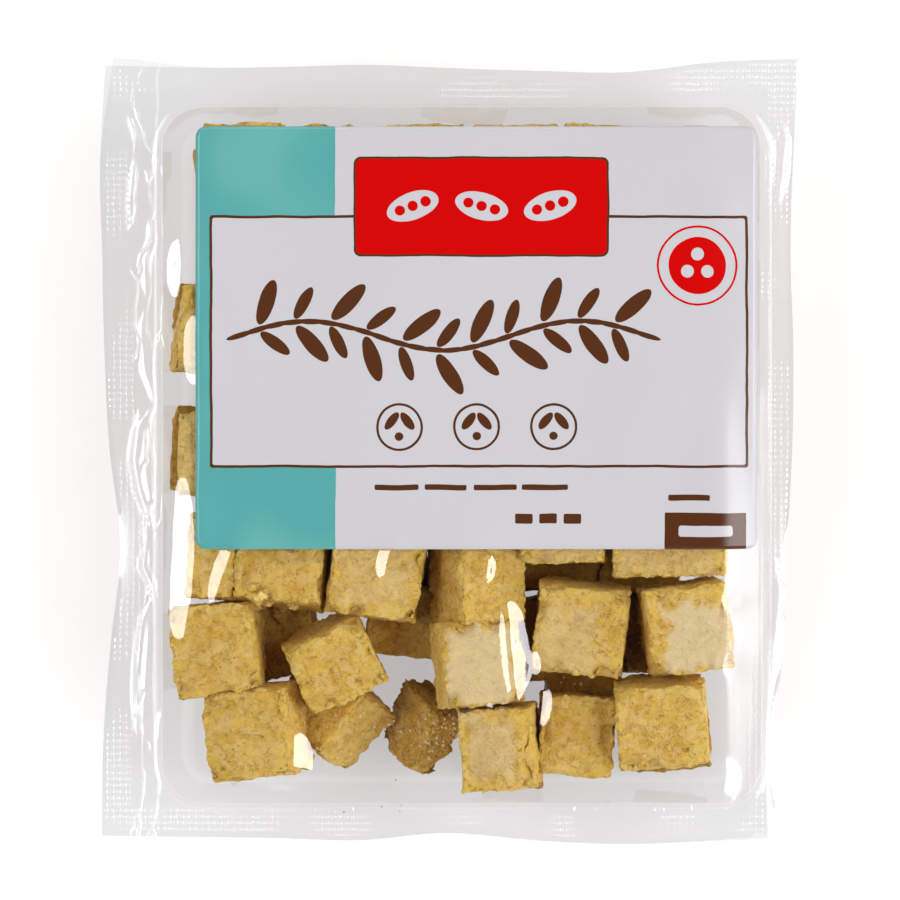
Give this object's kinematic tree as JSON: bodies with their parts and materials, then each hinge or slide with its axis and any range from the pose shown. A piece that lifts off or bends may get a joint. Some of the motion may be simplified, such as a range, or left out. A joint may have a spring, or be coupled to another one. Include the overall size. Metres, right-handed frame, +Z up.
{
  "type": "sealed clear pack of diced tofu",
  "caption": "Clear deep-drawn film pack full of loose tofu cubes, with a wavy welded flange, a flat lid film and a large printed label, lying label up.",
  "frame": {"origin": "middle of the pack's outline, on the plane that the floor of the pocket rests on", "axes": "+Z up through the lid film, +Y towards the top edge of the label, +X along the label's reading direction"},
  "size_m": [0.1274, 0.1432, 0.0354],
  "materials": {
    "tray_film": "gloss",
    "lid_film": "gloss",
    "label": "satin",
    "tofu": "matte"
  },
  "bodies": {
    "root": {"tray": "tray_film", "tofu": "tofu", "lid_film": "lid_film", "label": "label"}
  },
  "joints": []
}
